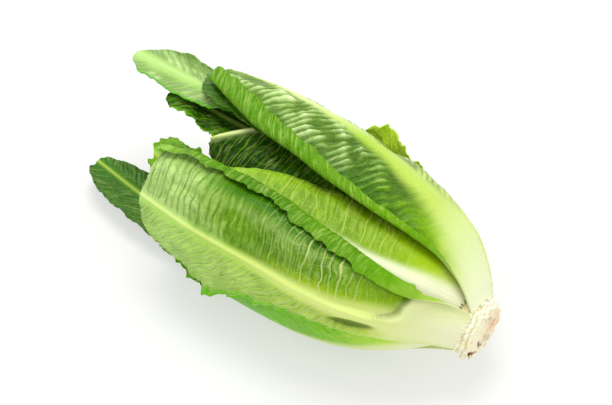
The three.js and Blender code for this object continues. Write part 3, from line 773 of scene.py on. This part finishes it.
# The outside and the inside of each leaf that shows.
LOOKS = {
    "leaf_front": (
        # The outside pales towards the tip, partly its own paler tissue and partly painted sheen.
        dict(blade=[(0.0, srgb(230, 236, 190)), (0.1, srgb(220, 228, 160)), (0.14, srgb(148, 190, 0)),
                    (0.3, srgb(116, 166, 0)), (0.52, srgb(96, 146, 0)), (0.7, srgb(124, 172, 14)),
                    (0.82, srgb(190, 222, 130)), (1.0, srgb(196, 226, 140))],
             low=[(0.0, srgb(230, 236, 190)), (0.14, srgb(218, 230, 146)), (0.22, srgb(204, 228, 100)),
                  (0.5, srgb(190, 226, 96)), (1.0, srgb(180, 222, 112))],
             rib=[(0.0, CREAM), (0.2, srgb(222, 234, 150)), (0.6, srgb(224, 240, 140)),
                  (1.0, srgb(220, 236, 150))],
             vein=[(0.0, srgb(230, 236, 170)), (0.45, srgb(222, 234, 156)), (0.62, srgb(110, 160, 10)),
                   (1.0, srgb(66, 126, 0))], vein_low=srgb(214, 236, 164),
             gloss=0.24, vein_share=0.85, groove=0.9, valley=0.9, rim=srgb(118, 196, 0), net=0.06, crease=0.5,
             top=srgb(204, 226, 160), top_share=0.12, crest=0.35, streaks=0.9, shine=0.12),
        dict(blade=[(0.0, srgb(190, 214, 100)), (0.2, srgb(106, 160, 0)), (0.6, srgb(78, 132, 0)),
                    (0.85, srgb(98, 150, 8)), (1.0, srgb(132, 180, 50))],
             rib=PALE_RIB, vein=srgb(140, 184, 36), vein_share=0.45, gloss=0.34, streaks=0.9, shine=0.1)),
    "leaf_upper": (
        dict(blade=[(0.0, srgb(222, 230, 160)), (0.25, srgb(190, 214, 90)), (0.5, srgb(190, 216, 112)),
                    (1.0, srgb(196, 220, 136))],
             low=[(0.0, srgb(222, 230, 160)), (0.1, srgb(180, 208, 60)), (0.15, srgb(140, 186, 4)),
                  (0.4, srgb(104, 156, 14)), (0.6, srgb(140, 184, 62)), (0.8, srgb(164, 204, 94)),
                  (1.0, srgb(170, 206, 100))],
             rib=[(0.0, srgb(232, 236, 204)), (0.1, srgb(216, 228, 168)), (0.22, srgb(188, 210, 104)),
                  (0.5, srgb(172, 202, 70)), (0.75, srgb(222, 236, 164)), (1.0, srgb(230, 240, 180))],
             vein=srgb(190, 216, 110), gloss=0.26, vein_share=0.15, crease=1.2, net=0.05,
             top=srgb(222, 236, 184), top_share=0.8, streaks=0.8, groove=0.4, shine=0.1),
        dict(blade=[(0.0, srgb(190, 214, 110)), (0.15, srgb(118, 170, 10)), (0.7, srgb(90, 144, 0)),
                    (1.0, srgb(98, 152, 8))],
             rib=PALE_RIB, vein=srgb(142, 188, 34), vein_share=0.45, gloss=0.34, streaks=0.9, shine=0.1)),
    "leaf_back": (
        dict(blade=[(0.0, srgb(222, 230, 160)), (0.3, srgb(182, 220, 30)), (1.0, srgb(150, 204, 20))],
             rib=PALE_RIB, vein=srgb(210, 232, 110)),
        dict(blade=[(0.0, srgb(206, 222, 120)), (0.3, srgb(206, 236, 50)), (1.0, srgb(176, 218, 20))],
             rib=PALE_RIB, vein=srgb(230, 244, 140), crease=0.15)),
    "leaf_bottom": (
        dict(blade=[(0.0, srgb(206, 218, 150)), (0.4, srgb(110, 158, 60)), (0.8, srgb(62, 116, 30)),
                    (1.0, srgb(56, 110, 30))],
             rib=[(0.0, CREAM), (0.5, srgb(160, 192, 96)), (1.0, srgb(130, 172, 84))],
             vein=srgb(130, 172, 82), vein_share=0.5, gloss=0.36, streaks=0.8, crease=0.7, shine=0.12),
        dict(blade=[(0.0, srgb(206, 218, 150)), (0.4, srgb(110, 158, 60)), (0.8, srgb(66, 122, 26)),
                    (1.0, srgb(66, 122, 30))],
             rib=PALE_RIB, vein=srgb(150, 190, 90), vein_share=0.7, gloss=0.34, streaks=0.9, crease=0.8,
             shine=0.12)),
    "leaf_low_front": (
        dict(blade=[(0.0, srgb(226, 234, 160)), (0.12, srgb(190, 226, 70)), (0.3, srgb(140, 210, 0)),
                    (0.6, srgb(112, 194, 0)), (1.0, srgb(90, 176, 0))],
             rib=PALE_RIB, vein=srgb(190, 226, 90), vein_share=0.35, net=0.1, gloss=0.3),
        dict(blade=INSIDE, rib=PALE_RIB, vein=srgb(150, 190, 50))),
    "leaf_middle": (
        dict(blade=[(0.0, srgb(206, 220, 110)), (0.06, srgb(176, 206, 30)), (0.2, srgb(150, 188, 0)),
                    (0.5, srgb(136, 178, 0)), (0.8, srgb(150, 194, 30)), (1.0, srgb(154, 198, 60))],
             rib=[(0.0, CREAM), (0.5, srgb(230, 238, 196)), (0.75, srgb(190, 214, 120)),
                  (1.0, srgb(160, 194, 90))],
             vein=srgb(206, 226, 110), vein_share=0.75, net=0.04, gloss=0.3, crease=0.35, streaks=0.7),
        dict(blade=INSIDE, rib=PALE_RIB, vein=srgb(150, 186, 50))),
    "leaf_tucked": (
        dict(blade=[(0.0, srgb(206, 218, 130)), (0.5, srgb(90, 140, 10)), (1.0, srgb(54, 116, 0))],
             rib=PALE_RIB, vein=srgb(120, 170, 30), crease=0.7, gloss=0.32, streaks=0.8),
        dict(blade=[(0.0, srgb(206, 218, 130)), (0.5, srgb(84, 134, 4)), (1.0, srgb(48, 108, 0))],
             rib=PALE_RIB, vein=srgb(120, 170, 30), crease=0.7, gloss=0.32, streaks=0.8)),
    "leaf_long": (
        dict(blade=[(0.0, srgb(214, 224, 150)), (0.5, srgb(160, 200, 96)), (1.0, srgb(172, 208, 120))],
             rib=[(0.0, CREAM), (0.6, srgb(190, 216, 130)), (1.0, srgb(190, 216, 140))],
             vein=srgb(206, 226, 170), vein_share=0.6, net=0.12, gloss=0.36, rim=srgb(96, 170, 0),
             streaks=0.7, crease=0.8, top=srgb(206, 226, 170), top_share=0.6),
        dict(blade=INSIDE, rib=PALE_RIB, vein=srgb(140, 180, 60))),
    "leaf_hooded": (
        # The hooded leaf lies in shade under the upper leaf: the darkening of its blade towards the tip is
        # partly painted shade.
        dict(blade=[(0.0, srgb(214, 224, 150)), (0.4, srgb(66, 116, 0)), (0.7, srgb(28, 80, 0)),
                    (1.0, srgb(22, 72, 0))],
             rib=[(0.0, CREAM), (0.5, srgb(214, 228, 140)), (0.8, srgb(230, 240, 180)),
                  (1.0, srgb(220, 234, 150))],
             vein=srgb(150, 196, 20), gloss=0.18, vein_share=0.6, net=0.05, crease=0.8, streaks=0.9,
             shine=0.05),
        dict(blade=INSIDE, rib=PALE_RIB, vein=srgb(150, 186, 70))),
    "leaf_ragged": (
        dict(blade=[(0.0, srgb(214, 224, 150)), (0.5, srgb(116, 166, 20)), (1.0, srgb(112, 168, 20))],
             rib=PALE_RIB, vein=srgb(170, 210, 60), crease=0.7),
        dict(blade=INSIDE, rib=PALE_RIB, vein=srgb(150, 186, 70), crease=0.7)),
    "leaf_crinkled": (
        dict(CRINKLED, blade=[(0.0, srgb(190, 208, 110)), (0.5, srgb(50, 106, 0)), (1.0, srgb(34, 90, 0))]),
        dict(CRINKLED, blade=[(0.0, srgb(190, 208, 110)), (0.5, srgb(44, 100, 0)), (1.0, srgb(30, 84, 0))])),
}
# The outside and the inside of the hidden leaves.
HIDDEN = (
    dict(blade=[(0.0, srgb(226, 228, 170)), (0.4, srgb(170, 194, 60)), (1.0, srgb(118, 164, 30))],
         rib=PALE_RIB, vein=srgb(184, 206, 90)),
    dict(blade=[(0.0, srgb(222, 226, 160)), (0.4, srgb(146, 180, 40)), (1.0, srgb(96, 148, 16))],
         rib=PALE_RIB, vein=srgb(170, 196, 80)),
)


def both_faces(name, looks):
    return [leaf_material(name + "_outside", **looks[0]), leaf_material(name + "_inside", **looks[1])]


hidden_pair = both_faces("heart_leaf", HIDDEN)
for name, measures in LEAVES.items():
    pair = both_faces(name, LOOKS[name]) if name in LOOKS else hidden_pair
    leaf_piece = make_leaf(name, measures, pair)
    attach(leaf_piece, "root")
    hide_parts(name)

butt = make_butt(butt_material())
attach(butt, "root")
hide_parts("stem")

deselect()
bpy.ops.mesh.primitive_plane_add(size=8, location=(0, 0, 0))
floor = bpy.context.object
floor.name = "floor"
n = Nodes("pale_floor")
grain = n.noise(n.add("ShaderNodeTexCoord").outputs["Object"], 3, 2)
n.surface(n.add("ShaderNodeBsdfPrincipled", {
    "Base Color": n.ramp(grain, [(0.3, (0.34, 0.34, 0.33, 1)), (0.7, (0.36, 0.36, 0.35, 1))]),
    "Roughness": 0.7, "Specular IOR Level": 0.2, "Emission Color": (1.0, 1.0, 0.99, 1),
    "Emission Strength": 0.55}))
floor.data.materials.append(n.material)

bpy.context.scene.view_settings.view_transform = "Standard"
world = bpy.data.worlds.new("studio")
bpy.context.scene.world = world
world.use_nodes = True
world.node_tree.nodes["Background"].inputs["Color"].default_value = (1.0, 1.0, 1.0, 1)
world.node_tree.nodes["Background"].inputs["Strength"].default_value = 0.95


def soft_light(name, place, aim, size, power):
    light = bpy.data.lights.new(name, "AREA")
    light.shape, light.size, light.energy = "SQUARE", size, power
    lamp = bpy.data.objects.new(name, light)
    bpy.context.scene.collection.objects.link(lamp)
    lamp.location = place
    lamp.rotation_mode = "QUATERNION"
    lamp.rotation_quaternion = (Vector(aim) - Vector(place)).to_track_quat("-Z", "Y")


soft_light("overhead", (-0.25, 0.35, 1.3), (0, 0, 0.05), 0.7, 11)

deselect()
AZIMUTH, ELEVATION = math.radians(36), math.radians(50)
CAMERA_DISTANCE, LENS, SENSOR = 1.3, 137, 36
back = Vector((math.sin(AZIMUTH) * math.cos(ELEVATION), -math.cos(AZIMUTH) * math.cos(ELEVATION),
               math.sin(ELEVATION)))
camera_data = bpy.data.cameras.new("camera")
camera_data.lens, camera_data.sensor_width = LENS, SENSOR
camera_data.dof.use_dof = False
camera = bpy.data.objects.new("camera", camera_data)
bpy.context.scene.collection.objects.link(camera)
target = Vector((STEM_BOX[1].x - 0.121, FACE_SIDE / MM, 0.0585))
camera.location = target + back * CAMERA_DISTANCE
camera.rotation_mode = "QUATERNION"
camera.rotation_quaternion = (-back).to_track_quat("-Z", "Y")
bpy.context.scene.camera = camera
